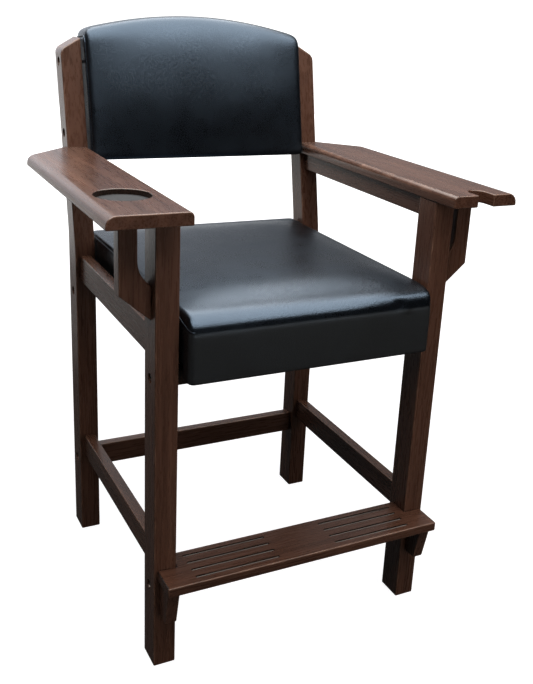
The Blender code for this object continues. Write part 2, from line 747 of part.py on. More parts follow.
frame_half = pocket_half - FIT
frame_front = skirt_back + FIT
frame_back = pocket_back - FIT
frame_low = SEAT_BASE
frame_high = DECK_TOP - DECK_THICKNESS - FIT
inner_front = frame_front + SEAT_FRAME_THICKNESS
inner_back = frame_back - SEAT_FRAME_THICKNESS
inner_half = frame_half - SEAT_FRAME_THICKNESS
box("seat_frame_front", (-frame_half, frame_front, frame_low), (frame_half, inner_front, frame_high), PLYWOOD)
box("seat_frame_rear", (-frame_half, inner_back, frame_low), (frame_half, frame_back, frame_high), PLYWOOD)
for side in SIDES:
    low_x, high_x = sorted((side * inner_half, side * frame_half))
    box(f"seat_frame_{side_name(side)}", (low_x, inner_front + FIT, frame_low),
        (high_x, inner_back - FIT, frame_high), PLYWOOD)
box("seat_deck", (-frame_half, frame_front, DECK_TOP - DECK_THICKNESS),
    (frame_half, frame_back, DECK_TOP), PLYWOOD)
box("seat_dust_cover", (-inner_half + FIT, inner_front + FIT, frame_low),
    (inner_half - FIT, inner_back - FIT, frame_low + DUST_COVER_THICKNESS), LINING)

# Back: cushion over a core panel that is bolted between the posts, closed by a rear cover

back = cage("back_cushion",
            loops(-BACK_HALF, BACK_HALF, BACK_ROLL, BACK_ROLL, BACK_CELLS[0]),
            loops(BACK_FRONT, BACK_REAR, BACK_ROLL, BACK_ROLL, BACK_CELLS[1]),
            loops(BACK_BOTTOM, BACK_TOP, BACK_ROLL, BACK_ROLL, BACK_CELLS[2]), back_shape)
core_front = CORE_MIDDLE - CORE_THICKNESS / 2
core_back = CORE_MIDDLE + CORE_THICKNESS / 2
core_low = BACK_BOTTOM + CORE_BOTTOM_MARGIN
core_high = BACK_TOP - CORE_TOP_MARGIN
cut(back, leaning_box("core_pocket", (-CORE_END - FIT, core_front - FIT, core_low - FIT),
                      (CORE_END + FIT, BACK_REAR + OVERCUT, core_high + FIT)))
core = leaning_box("back_core", (-CORE_END, core_front, core_low), (CORE_END, core_back, core_high), PLYWOOD)
leaning_box("back_cover", (-CORE_END, core_back + FIT, core_low), (CORE_END, BACK_REAR, core_high), VINYL)
for side in SIDES:
    for joint in ("back_low", "back_high"):
        y, z, end = POST_BOLTS[joint]
        insert_hole(core, side, joint, y, z, end)
        bore = BOLT_RADIUS + FIT
        profile = [(0.0, OVERCUT), (bore, OVERCUT), (bore, -BACK_WALL - OVERCUT), (0.0, -BACK_WALL - OVERCUT)]
        tool = turned(f"cushion_hole_{joint}_{side_name(side)}", profile, TURN_STEPS)
        along_x(tool, side, BACK_HALF, y, z)
        cut(back, tool)

# Bolts with socket heads in the counterbores, and the inserts they screw into


def bolt_mesh(name, length):
    profile = [(0.0, BOLT_HEAD_HEIGHT), (BOLT_HEAD_RADIUS - BOLT_CHAMFER, BOLT_HEAD_HEIGHT),
               (BOLT_HEAD_RADIUS, BOLT_HEAD_HEIGHT - BOLT_CHAMFER), (BOLT_HEAD_RADIUS, 0.0), (BOLT_RADIUS, 0.0),
               (BOLT_RADIUS, BOLT_CHAMFER - length), (BOLT_RADIUS - BOLT_CHAMFER, -length), (0.0, -length)]
    blank = turned(f"{name}_blank", profile, TURN_STEPS)
    profile = [(0.0, BOLT_HEAD_HEIGHT + OVERCUT), (SOCKET_RADIUS, BOLT_HEAD_HEIGHT + OVERCUT),
               (SOCKET_RADIUS, BOLT_HEAD_HEIGHT - SOCKET_DEPTH), (0.0, BOLT_HEAD_HEIGHT - SOCKET_DEPTH)]
    cut(blank, turned(f"{name}_socket", profile, HEX))
    return finished_mesh(blank)


def insert_mesh():
    bore = BOLT_RADIUS + FIT
    blank = turned("insert_blank", [(0.0, 0.0), (INSERT_RADIUS, 0.0), (INSERT_RADIUS, -INSERT_LENGTH),
                                    (0.0, -INSERT_LENGTH)], TURN_STEPS)
    cut(blank, turned("insert_bore", [(0.0, OVERCUT), (bore, OVERCUT), (bore, -INSERT_LENGTH - OVERCUT),
                                      (0.0, -INSERT_LENGTH - OVERCUT)], TURN_STEPS))
    return finished_mesh(blank)


head_seat = LEG_OUTER - COUNTERBORE_DEPTH + FIT
shared_bolts = {end: bolt_mesh(f"bolt_{index}", head_seat - end + BOLT_BITE)
                for index, end in enumerate((MEMBER_END, CORE_END))}
shared_insert = insert_mesh()
for joint, (y, z, end) in (FRONT_LEG_BOLTS | POST_BOLTS).items():
    for side in SIDES:
        bolt = new_object(f"bolt_{joint}_{side_name(side)}", shared_bolts[end], STEEL)
        along_x(bolt, side, head_seat, y, z)
        insert = new_object(f"insert_{joint}_{side_name(side)}", shared_insert, BRASS)
        along_x(insert, side, end, y, z)
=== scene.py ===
import math

import bmesh
import bpy
from mathutils import Matrix, Vector
from mathutils.bvhtree import BVHTree


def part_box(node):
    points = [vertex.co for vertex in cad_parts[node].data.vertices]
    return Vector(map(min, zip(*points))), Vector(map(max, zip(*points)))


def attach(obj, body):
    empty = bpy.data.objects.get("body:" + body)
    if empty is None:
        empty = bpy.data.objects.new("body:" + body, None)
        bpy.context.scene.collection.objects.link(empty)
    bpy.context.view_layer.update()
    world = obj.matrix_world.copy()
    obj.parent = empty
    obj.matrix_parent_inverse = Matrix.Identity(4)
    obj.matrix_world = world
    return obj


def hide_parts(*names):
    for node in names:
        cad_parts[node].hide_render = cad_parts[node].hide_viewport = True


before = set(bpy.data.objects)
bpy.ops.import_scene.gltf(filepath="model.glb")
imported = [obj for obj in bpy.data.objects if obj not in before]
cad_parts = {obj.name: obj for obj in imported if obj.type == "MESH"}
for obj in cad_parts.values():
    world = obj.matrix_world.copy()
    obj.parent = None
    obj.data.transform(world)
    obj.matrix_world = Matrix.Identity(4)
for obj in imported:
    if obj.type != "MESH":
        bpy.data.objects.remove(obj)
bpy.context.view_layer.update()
scene = bpy.context.scene
print("chair frame loaded, nodes:", len(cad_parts))


# camera, floor and light

view = {
    "place": (-0.81109, -1.76100, 1.28806),
    "right": (0.884128, -0.463730, 0.057208),
    "up": (0.102187, 0.311378, 0.944776),
    "back": (-0.455934, -0.829457, 0.322686),
    "lens": 61.951, "sensor": 36.0,
    "shift": (-0.0715, -0.0590),
}


def setCamera():
    eye = bpy.data.objects.new("viewer", bpy.data.cameras.new("viewer"))
    scene.collection.objects.link(eye)
    eye.data.sensor_fit = "HORIZONTAL"
    eye.data.sensor_width = view["sensor"]
    eye.data.lens = view["lens"]
    eye.data.shift_x, eye.data.shift_y = view["shift"]
    turn = Matrix((view["right"], view["up"], view["back"])).transposed().to_4x4()
    eye.matrix_world = Matrix.Translation(view["place"]) @ turn
    scene.camera = eye


studio = {
    "overhead": {"place": (-0.30, -0.13, 2.50), "aim": (-0.30, -0.13, 0.0), "size": (3.00, 3.66),
                 "power": 168.0, "mirrored": True},
    "wing": {"place": (1.55, -0.90, 2.50), "aim": (1.55, -0.90, 0.0), "size": (0.70, 2.40),
             "power": 24.0, "mirrored": True},
    "fill": {"place": (0.60, -3.30, 0.90), "aim": (0.0, 0.0, 0.55), "size": (2.4, 1.8),
             "power": 36.0, "mirrored": False},
}
room = {
    "tint": (0.94, 0.98, 1.05),
    "sideways": (-0.05, 0.50, 1.25, 0.28),  # ranges here and below: from low, from high, to low, to high
    "farLeft": (-0.46, -0.30, 0.05, 1.0),
    "depth": (0.15, 0.60, 0.012, 1.0),
    "height": (0.45, 0.75, 1.0, 0.40),
}


def setLights():
    for name, lamp in studio.items():
        made = bpy.data.objects.new(name, bpy.data.lights.new(name, "AREA"))
        scene.collection.objects.link(made)
        made.data.shape = "RECTANGLE"
        made.data.size, made.data.size_y = lamp["size"]
        made.data.energy = lamp["power"]
        made.location = lamp["place"]
        beam = Vector(lamp["aim"]) - Vector(lamp["place"])
        made.rotation_euler = beam.to_track_quat("-Z", "Y").to_euler()
        made.visible_camera, made.visible_glossy = False, lamp["mirrored"]
    scene.world = bpy.data.worlds.new("room")
    scene.world.use_nodes = True
    tree = scene.world.node_tree
    sky = tree.nodes["Background"]
    sky.inputs["Color"].default_value = (*room["tint"], 1.0)
    # bright behind the chair, dimmer to the right, dim far left, in front and high up
    way = addNode(tree, "ShaderNodeSeparateXYZ")
    tree.links.new(addNode(tree, "ShaderNodeTexCoord").outputs["Generated"], way.inputs["Vector"])
    wide = ranged(tree, way.outputs["X"], *room["sideways"])
    far = ranged(tree, way.outputs["X"], *room["farLeft"])
    deep = ranged(tree, way.outputs["Y"], *room["depth"])
    tall = ranged(tree, way.outputs["Z"], *room["height"])
    tree.links.new(times(tree, wide, far, deep, tall), sky.inputs["Strength"])


# mesh helpers

mending = {"weld": 0.00001, "slice": 0.000001, "touch": 0.0001, "rim": 0.999}


def smoothFaces(mesh):
    for face in mesh.polygons:
        face.use_smooth = True


def meshFrom(bm, name, smoothAngle=None):
    mesh = bpy.data.meshes.new(name)
    bm.to_mesh(mesh)
    bm.free()
    smoothFaces(mesh)
    if smoothAngle is not None:
        mesh.set_sharp_from_angle(angle=math.radians(smoothAngle))
    return mesh


def spun(profile, count):
    bm = bmesh.new()
    verts = [bm.verts.new((radius, 0.0, height)) for radius, height in profile]
    edges = [bm.edges.new(pair) for pair in zip(verts, verts[1:])]
    bmesh.ops.spin(bm, geom=verts + edges, cent=(0, 0, 0), axis=(0, 0, 1), angle=2 * math.pi, steps=count,
                   use_merge=True)
    bmesh.ops.remove_doubles(bm, verts=bm.verts, dist=mending["weld"])
    bmesh.ops.recalc_face_normals(bm, faces=bm.faces)
    return bm


# node helpers for the finishes

def newFinish(name):
    made = bpy.data.materials.new(name)
    made.use_nodes = True
    return made, made.node_tree, made.node_tree.nodes["Principled BSDF"]


def addNode(tree, kind, values=None, **settings):
    made = tree.nodes.new(kind)
    for key, value in settings.items():
        setattr(made, key, value)
    for key, value in (values or {}).items():
        made.inputs[key].default_value = value
    return made


def objectSpot(tree, scale=(1, 1, 1)):
    spot = addNode(tree, "ShaderNodeTexCoord")
    place = addNode(tree, "ShaderNodeMapping", {"Scale": scale})
    tree.links.new(spot.outputs["Object"], place.inputs["Vector"])
    return place.outputs["Vector"]


def noiseOf(tree, spot, scale, detail=3.0, rough=0.55, warp=0.0):
    made = addNode(tree, "ShaderNodeTexNoise",
                   {"Scale": scale, "Detail": detail, "Roughness": rough, "Distortion": warp})
    tree.links.new(spot, made.inputs["Vector"])
    return made.outputs["Fac"]


def ranged(tree, value, low, high, toLow, toHigh):
    made = addNode(tree, "ShaderNodeMapRange",
                   {"From Min": low, "From Max": high, "To Min": toLow, "To Max": toHigh})
    tree.links.new(value, made.inputs["Value"])
    return made.outputs["Result"]


def ramped(tree, value, stops):
    made = addNode(tree, "ShaderNodeValToRGB")
    band = made.color_ramp
    while len(band.elements) < len(stops):
        band.elements.new(0.5)
    for element, (place, colour) in zip(band.elements, stops):
        element.position = place
        element.color = (*colour, 1.0)
    tree.links.new(value, made.inputs["Fac"])
    return made.outputs["Color"]


def feed(tree, socket, value):
    if isinstance(value, bpy.types.NodeSocket):
        tree.links.new(value, socket)
    elif isinstance(value, (int, float)):
        socket.default_value = value
    else:
        socket.default_value = (*value, 1.0)


def mixed(tree, amount, first, second, blend="MIX"):
    made = addNode(tree, "ShaderNodeMix", data_type="RGBA", blend_type=blend)
    for socket, value in ((0, amount), (6, first), (7, second)):  # 6 and 7 are the two colours
        feed(tree, made.inputs[socket], value)
    return made.outputs[2]


def summed(tree, first, second, operation="ADD"):
    made = addNode(tree, "ShaderNodeMath", operation=operation)
    feed(tree, made.inputs[0], first)
    feed(tree, made.inputs[1], second)
    return made.outputs["Value"]


def times(tree, product, *others):
    for other in others:
        product = summed(tree, product, other, "MULTIPLY")
    return product


def bumpOn(tree, shader, height, strength, distance):
    made = addNode(tree, "ShaderNodeBump", {"Strength": strength, "Distance": distance})
    tree.links.new(height, made.inputs["Height"])
    tree.links.new(made.outputs["Normal"], shader.inputs["Normal"])


# espresso stain on close-grained hardwood under a satin lacquer

stain = {
    "tones": [(0.28, (0.0410, 0.0182, 0.0110)), (0.50, (0.0610, 0.0277, 0.0171)),
              (0.74, (0.0820, 0.0392, 0.0250))],
    # pale colour of rubbed edges: worn stain that is also a painted highlight along the edges
    "edge": (0.1300, 0.0720, 0.0490),
    "along": 0.055,  # how much the figure is drawn out along the grain
    "figure": (30.0, 4.0, 0.6, 0.9),  # noises here and below: scale, detail, roughness, warp
    "streak": (230.0, 3.0, 0.6, 0.3),
    "pore": (820.0, 2.0, 0.5),
    "wear": (26.0, 4.0),
    "fleck": (0.34, 0.68, 0.88, 1.10),
    "pit": (0.30, 0.46, 0.74, 1.0), "pitShare": 0.22,
    "worn": (0.42, 0.68, 0.10, 0.75),
    # painted shade: the share of the tone left where the wood is darkened
    "paintedShade": (-1.0, 0.0, 0.22, 1.0),
    "gloss": (0.3, 0.7, 0.23, 0.34), "glint": (1.0, 0.93, 0.85),
    "coat": 0.10, "coatRough": 0.16,
    "relief": 0.45, "bump": (0.06, 0.0004),  # bumps here and below: strength, distance
}


def espressoStain(axis):
    made, tree, shader = newFinish("espressoStain" + "XYZ"[axis])
    scale = [1.0, 1.0, 1.0]
    scale[axis] = stain["along"]
    spot = objectSpot(tree, scale)
    figure = noiseOf(tree, spot, *stain["figure"])
    streak = noiseOf(tree, spot, *stain["streak"])
    pore = noiseOf(tree, spot, *stain["pore"])
    tone = ramped(tree, figure, stain["tones"])
    tone = mixed(tree, 1.0, tone, ranged(tree, streak, *stain["fleck"]), "MULTIPLY")
    pit = ranged(tree, pore, *stain["pit"])
    tone = mixed(tree, stain["pitShare"], tone, pit, "MULTIPLY")
    # the edge attribute is 1 on rubbed edges, which are worn pale and also carry a painted highlight, and -1
    # where painted shade darkens recesses, flutes and bearers
    rubSheenShade = addNode(tree, "ShaderNodeAttribute", attribute_name="edgeRubSheenShade").outputs["Fac"]
    patch = ranged(tree, noiseOf(tree, objectSpot(tree), *stain["wear"]), *stain["worn"])
    tone = mixed(tree, times(tree, rubSheenShade, patch), tone, stain["edge"])
    tone = mixed(tree, 1.0, tone, ranged(tree, rubSheenShade, *stain["paintedShade"]), "MULTIPLY")
    tree.links.new(tone, shader.inputs["Base Color"])
    tree.links.new(ranged(tree, streak, *stain["gloss"]), shader.inputs["Roughness"])
    shader.inputs["Specular Tint"].default_value = (*stain["glint"], 1.0)
    shader.inputs["Coat Weight"].default_value = stain["coat"]
    shader.inputs["Coat Roughness"].default_value = stain["coatRough"]
    bumpOn(tree, shader, summed(tree, times(tree, streak, stain["relief"]), pit), *stain["bump"])
    return made


# black upholstery vinyl with a fine pebbled grain

vinylSkin = {
    "dark": (0.0014, 0.0016, 0.0022),
    "light": (0.0028, 0.0032, 0.0042),
    "glint": (0.61, 0.78, 0.97), "shine": 0.95,
    "cloud": (14.0, 4.0),
    "wobble": {"Scale": 210.0, "Detail": 2.0}, "sway": (0.004, 0.004, 0.004),
    "pebble": {"Scale": 520.0, "Smoothness": 0.35}, "height": (0.0, 0.75, 1.0, 0.0),
    "fine": (1500.0, 2.0), "fineShare": 0.35,
    "gloss": (0.3, 0.7, 0.21, 0.30), "valley": (0.2, 0.7, 0.0, 0.09),
    "bump": (0.36, 0.0005),
    "band": {"tone": (0.0108, 0.0090, 0.0068), "dull": 0.25, "ahead": -0.336, "top": 0.7165, "fade": 0.002},
}


def onBand(tree, spot):
    # the seat's front band is a duller cut of the same vinyl
    band = vinylSkin["band"]
    way = addNode(tree, "ShaderNodeSeparateXYZ")
    tree.links.new(spot, way.inputs["Vector"])
    limits = [ranged(tree, way.outputs[axis], band[key] - band["fade"], band[key] + band["fade"], 1.0, 0.0)
              for axis, key in (("Y", "ahead"), ("Z", "top"))]
    return times(tree, *limits)


def pebbledVinyl():
    made, tree, shader = newFinish("blackVinyl")
    spot = objectSpot(tree)
    cloud = noiseOf(tree, spot, *vinylSkin["cloud"])
    wobble = addNode(tree, "ShaderNodeTexNoise", vinylSkin["wobble"])
    tree.links.new(spot, wobble.inputs["Vector"])
    shifted = addNode(tree, "ShaderNodeVectorMath", {1: vinylSkin["sway"]}, operation="MULTIPLY_ADD")
    tree.links.new(wobble.outputs["Color"], shifted.inputs[0])
    tree.links.new(spot, shifted.inputs[2])
    pebble = addNode(tree, "ShaderNodeTexVoronoi", vinylSkin["pebble"], feature="SMOOTH_F1")
    tree.links.new(shifted.outputs["Vector"], pebble.inputs["Vector"])
    fine = noiseOf(tree, spot, *vinylSkin["fine"])
    band = onBand(tree, spot)
    tone = mixed(tree, cloud, vinylSkin["dark"], vinylSkin["light"])
    tree.links.new(mixed(tree, band, tone, vinylSkin["band"]["tone"]), shader.inputs["Base Color"])
    grain = summed(tree, ranged(tree, pebble.outputs["Distance"], *vinylSkin["height"]),
                   times(tree, fine, vinylSkin["fineShare"]))
    gloss = summed(tree, ranged(tree, cloud, *vinylSkin["gloss"]),
                   ranged(tree, pebble.outputs["Distance"], *vinylSkin["valley"]))
    dull = times(tree, band, vinylSkin["band"]["dull"])
    tree.links.new(summed(tree, gloss, dull), shader.inputs["Roughness"])
    shader.inputs["Specular Tint"].default_value = (*vinylSkin["glint"], 1.0)
    shader.inputs["Specular IOR Level"].default_value = vinylSkin["shine"]
    bumpOn(tree, shader, grain, *vinylSkin["bump"])
    return made


# small finishes

steelSkin = {
    "patch": (240.0, 4.0), "tones": [(0.35, (0.055, 0.054, 0.053)), (0.75, (0.16, 0.155, 0.150))],
    "gloss": (0.3, 0.7, 0.26, 0.46), "metal": 0.45, "grit": (2200.0, 2.0), "bump": (0.10, 0.0001),
}
brassSkin = {
    "patch": (180.0, 3.0), "tones": [(0.3, (0.38, 0.26, 0.10)), (0.7, (0.62, 0.47, 0.22))],
    "gloss": (0.3, 0.7, 0.28, 0.5), "metal": 1.0,
}
plySkin = {
    "layers": {"Scale": 95.0, "Distortion": 1.2, "Detail": 2.0}, "layerShare": 0.35,
    "drawn": (0.08, 1, 1), "fibre": (160.0, 4.0),
    "tones": [(0.3, (0.33, 0.21, 0.11)), (0.7, (0.56, 0.40, 0.24))],
    "gloss": (0.3, 0.7, 0.62, 0.80), "bump": (0.2, 0.0004),
}
liningSkin = {
    "thread": {"Scale": 190.0, "Distortion": 0.6}, "rough": 0.92, "bump": (0.3, 0.0004),
    "tones": [(0.2, (0.005, 0.005, 0.005)), (0.9, (0.022, 0.022, 0.023))],
}
feltSkin = {
    "nap": (900.0, 4.0, 0.7), "tones": [(0.30, (0.0115, 0.0117, 0.0120)), (0.70, (0.0211, 0.0213, 0.0220))],
    "patch": (70.0, 3.0), "patchShare": 0.5, "fade": (0.3, 0.7, 0.8, 1.15),
    "rough": 0.88, "bump": (0.4, 0.0005),
}


def metalFinish(name, skin):
    made, tree, shader = newFinish(name)
    spot = objectSpot(tree)
    patch = noiseOf(tree, spot, *skin["patch"])
    tree.links.new(ramped(tree, patch, skin["tones"]), shader.inputs["Base Color"])
    tree.links.new(ranged(tree, patch, *skin["gloss"]), shader.inputs["Roughness"])
    shader.inputs["Metallic"].default_value = skin["metal"]
    if "grit" in skin:
        bumpOn(tree, shader, noiseOf(tree, spot, *skin["grit"]), *skin["bump"])
    return made


def corePly():
    made, tree, shader = newFinish("corePlywood")
    layers = addNode(tree, "ShaderNodeTexWave", plySkin["layers"], bands_direction="Z")
    tree.links.new(objectSpot(tree), layers.inputs["Vector"])
    fibre = noiseOf(tree, objectSpot(tree, plySkin["drawn"]), *plySkin["fibre"])
    tone = ramped(tree, fibre, plySkin["tones"])
    tone = mixed(tree, plySkin["layerShare"], tone, layers.outputs["Color"], "MULTIPLY")
    tree.links.new(tone, shader.inputs["Base Color"])
    tree.links.new(ranged(tree, fibre, *plySkin["gloss"]), shader.inputs["Roughness"])
    bumpOn(tree, shader, fibre, *plySkin["bump"])
    return made


def dustLining():
    made, tree, shader = newFinish("dustLining")
    spot = objectSpot(tree)
    threads = []
    for way in ("X", "Y"):
        thread = addNode(tree, "ShaderNodeTexWave", liningSkin["thread"], bands_direction=way)
        tree.links.new(spot, thread.inputs["Vector"])
        threads.append(thread.outputs["Fac"])
    weave = summed(tree, threads[0], threads[1], "MAXIMUM")
    tree.links.new(ramped(tree, weave, liningSkin["tones"]), shader.inputs["Base Color"])
    shader.inputs["Roughness"].default_value = liningSkin["rough"]
    bumpOn(tree, shader, weave, *liningSkin["bump"])
    return made


def coasterFelt():
    made, tree, shader = newFinish("coasterFelt")
    spot = objectSpot(tree)
    nap = noiseOf(tree, spot, *feltSkin["nap"])
    patch = noiseOf(tree, spot, *feltSkin["patch"])
    tone = ramped(tree, nap, feltSkin["tones"])
    tone = mixed(tree, feltSkin["patchShare"], tone, ranged(tree, patch, *feltSkin["fade"]), "MULTIPLY")
    tree.links.new(tone, shader.inputs["Base Color"])
    shader.inputs["Roughness"].default_value = feltSkin["rough"]
    bumpOn(tree, shader, nap, *feltSkin["bump"])
    return made


# the floor: the viewer sees a white sweep, and the chair mirrors a grey floor

ground = {
    "sweep": [(0.0, 0.0), (9.0, 0.0), (10.4, 0.4), (11.4, 1.4), (11.8, 2.8), (11.8, 9.0)],
    "sweepSteps": 64, "crease": 60.0, "greySize": 30.0, "greyCells": 4, "rough": 0.8,
    "patch": (1.3, 3.0), "tones": [(0.3, (0.44, 0.44, 0.445)), (0.7, (0.47, 0.47, 0.47))],
    "whiteGlow": (0.6, 2.4, 0.80, 1.0),
    "aside": (-0.60, 0.80, 0.0), "paintedShadeTone": (1.2, 2.0, 0.030, 0.24),
    "along": (-0.45, 0.89, 0.0), "paintedGlow": (2.5, 3.4, 0.0, 0.90),
    "slant": (-0.58, -0.46, 0.0, 1.0),
}


def newGround(name):
    made, tree, shader = newFinish(name)
    shader.inputs["Roughness"].default_value = ground["rough"]
    shader.inputs["Specular IOR Level"].default_value = 0.0
    shader.inputs["Emission Color"].default_value = (1.0, 1.0, 1.0, 1.0)
    return made, tree, shader


def measured(tree, spot, way):
    made = addNode(tree, "ShaderNodeVectorMath", {1: way}, operation="DOT_PRODUCT")
    tree.links.new(spot, made.inputs[0])
    return made.outputs["Value"]


def paleFloor():
    made, tree, shader = newGround("paleFloor")
    patch = noiseOf(tree, objectSpot(tree), *ground["patch"])
    tree.links.new(ramped(tree, patch, ground["tones"]), shader.inputs["Base Color"])
    away = addNode(tree, "ShaderNodeVectorMath", operation="LENGTH")
    tree.links.new(addNode(tree, "ShaderNodeTexCoord").outputs["Object"], away.inputs[0])
    glow = ranged(tree, away.outputs["Value"], *ground["whiteGlow"])
    tree.links.new(glow, shader.inputs["Emission Strength"])
    return made


def greyFloor():
    # painted shade darkens it round the chair, where the chair's shadow would fall, and a painted glow lights
    # it behind the chair a little to the left
    made, tree, shader = newGround("greyFloor")
    spot = addNode(tree, "ShaderNodeTexCoord").outputs["Object"]
    tone = ranged(tree, measured(tree, spot, ground["aside"]), *ground["paintedShadeTone"])
    tree.links.new(tone, shader.inputs["Base Color"])
    way = addNode(tree, "ShaderNodeSeparateXYZ")
    tree.links.new(spot, way.inputs["Vector"])
    slant = ranged(tree, summed(tree, way.outputs["X"], way.outputs["Y"], "DIVIDE"), *ground["slant"])
    glow = ranged(tree, measured(tree, spot, ground["along"]), *ground["paintedGlow"])
    tree.links.new(times(tree, slant, glow), shader.inputs["Emission Strength"])
    return made


def layFloor():
    bm = spun(ground["sweep"], ground["sweepSteps"])
    sweep = bpy.data.objects.new("sweep", meshFrom(bm, "sweep", ground["crease"]))
    bm = bmesh.new()
    cells = ground["greyCells"]
    bmesh.ops.create_grid(bm, x_segments=cells, y_segments=cells, size=ground["greySize"])
    grey = bpy.data.objects.new("greyFloor", meshFrom(bm, "greyFloor"))
    for stage, finish in ((sweep, paleFloor()), (grey, greyFloor())):
        scene.collection.objects.link(stage)
        stage.data.materials.append(finish)
    sweep.visible_diffuse = sweep.visible_glossy = sweep.visible_shadow = False
    grey.visible_camera = grey.visible_shadow = False


setCamera()
setLights()
layFloor()
stains = [espressoStain(axis) for axis in range(3)]
vinyl = pebbledVinyl()
steel = metalFinish("blackSteel", steelSkin)
print("camera, light and finishes ready")


# making and dressing pieces

def newPiece(name, mesh, finish, slot, *nodes):
    piece = bpy.data.objects.new(name, mesh)
    scene.collection.objects.link(piece)
    mesh.materials.clear()
    mesh.materials.append(finish)
    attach(piece, "root")
    if nodes:
        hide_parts(*nodes)
    return piece


def bakedMesh(piece):
    bpy.context.view_layer.update()
    graph = bpy.context.evaluated_depsgraph_get()
    return bpy.data.meshes.new_from_object(piece.evaluated_get(graph))


# joinery: every stick of wood is its solid, welded, with its flat faces merged

grainWay = {
    0: ["back_stretcher", "front_stretcher", "front_bearer", "rear_bearer", "footrest_board"],
    1: ["arm_left", "arm_right", "arm_rail_left", "arm_rail_right", "seat_side_rail_left",
        "seat_side_rail_right", "side_stretcher_left", "side_stretcher_right"],
    2: ["front_leg_left", "front_leg_right", "rear_post_left", "rear_post_right", "corbel_left",
        "corbel_right", "footrest_bracket_left", "footrest_bracket_right"],
}
joinery = {
    "weld": 0.00002, "flat": 0.004, "crease": 38.0, "rubWidth": 0.0034, "hollow": 0.05,
    "recessSlack": 0.002, "steep": 0.5, "fluteDepth": (0.0001, 0.0045), "fluteReach": 0.046,
}


def markRubSheen(bm):
    # narrow faces are rubbed pale, which also serves as a painted highlight along the edges, unless they
    # border a hollow
    rubSheenShade = bm.faces.layers.float.new("edgeRubSheenShade")
    for face in bm.faces:
        reach = max(edge.calc_length() for edge in face.edges)
        narrow = face.calc_area() / reach < joinery["rubWidth"]
        hollow = any(not edge.is_convex and edge.calc_face_angle(0.0) > joinery["hollow"]
                     for edge in face.edges)
        face[rubSheenShade] = 1.0 if narrow and not hollow else 0.0


def paintRecessShade(bm):
    # painted shade: the wall of the cup recess is darkened
    rubSheenShade = bm.faces.layers.float["edgeRubSheenShade"]
    low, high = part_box("cup_coaster")
    middle, reach = (Vector(low) + Vector(high)) / 2, (high[0] - low[0]) / 2 + joinery["recessSlack"]
    for face in bm.faces:
        beside = (face.calc_center_median() - middle).xy.length < reach
        if beside and abs(face.normal.z) < joinery["steep"]:
            face[rubSheenShade] = -1.0


def paintFluteShade(bm):
    # painted shade: the flutes are darkened too
    rubSheenShade = bm.faces.layers.float["edgeRubSheenShade"]
    low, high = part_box("footrest_board")
    least, most = joinery["fluteDepth"]
    for face in bm.faces:
        middle = face.calc_center_median()
        sunk = high[2] - most < middle.z < high[2] - least
        if sunk and abs(middle.y - (low[1] + high[1]) / 2) < joinery["fluteReach"]:
            face[rubSheenShade] = -1.0


def paintBearerShade(bm):
    # painted shade: the bearers under the seat are darkened nearly black
    rubSheenShade = bm.faces.layers.float["edgeRubSheenShade"]
    for face in bm.faces:
        face[rubSheenShade] = -1.0


def dressWood(node, way):
    bm = bmesh.new()
    bm.from_mesh(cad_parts[node].data)
    bmesh.ops.remove_doubles(bm, verts=bm.verts, dist=joinery["weld"])
    bmesh.ops.dissolve_limit(bm, angle_limit=joinery["flat"], verts=bm.verts, edges=bm.edges)
    markRubSheen(bm)
    if node == "arm_left":
        paintRecessShade(bm)
    if node == "footrest_board":
        paintFluteShade(bm)
    if node.endswith("bearer"):
        paintBearerShade(bm)
    name = "wood." + node
    piece = newPiece(name, meshFrom(bm, name, joinery["crease"]), stains[way], "wood", node)
    level = piece.modifiers.new("flat faces", "WEIGHTED_NORMAL")
    level.keep_sharp = True


for way, nodes in grainWay.items():
    for node in nodes:
        dressWood(node, way)
print("joinery dressed")


# bolts with socket heads, and the coaster

boltHead = {
    "head": 0.0080, "height": 0.0035, "chamfer": 0.0008, "dome": 0.0030,
    "curve": ((0.60, 0.86), (0.78, 0.60), (0.92, 0.25)),  # the dome's outline, in shares of head and dome
    "flats": 0.0025, "socket": 0.0024, "shank": 0.0030, "steps": 36, "snap": 0.00002, "crease": 30.0,
}
coaster = {
    "lip": 0.0009, "rounding": 0.3, "groove": 0.0006, "grooveRadius": 0.0445, "steps": 96, "crease": 40.0,
}


def makeBolt(node):
    low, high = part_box(node)
    side = -1 if node.endswith("left") else 1
    tip = low[0] if side < 0 else high[0]
    length = high[0] - low[0]
    dome, flats, wide, shank = boltHead["dome"], boltHead["flats"], boltHead["head"], boltHead["shank"]
    under, floor = -boltHead["height"], dome - boltHead["socket"]
    profile = [(0.0, floor), (flats, floor), (flats, dome)]
    profile += [(out * wide, up * dome) for out, up in boltHead["curve"]]
    profile += [(wide, -boltHead["chamfer"]), (wide, under), (shank, under), (shank, -length), (0.0, -length)]
    bm = spun(profile, boltHead["steps"])
    sixth = math.pi / 3
    for vert in bm.verts:  # the round recess becomes a hexagon
        if abs(vert.co.xy.length - flats) < boltHead["snap"] and vert.co.z > under:
            turn = math.atan2(vert.co.y, vert.co.x)
            vert.co.xy *= 1.0 / math.cos((turn % sixth) - sixth / 2)
    bmesh.ops.rotate(bm, cent=(0, 0, 0), matrix=Matrix.Rotation(side * math.pi / 2, 3, "Y"), verts=bm.verts)
    bmesh.ops.translate(bm, vec=(tip, (low[1] + high[1]) / 2, (low[2] + high[2]) / 2), verts=bm.verts)
    name = "steel." + node
    newPiece(name, meshFrom(bm, name, boltHead["crease"]), steel, "steel", node)


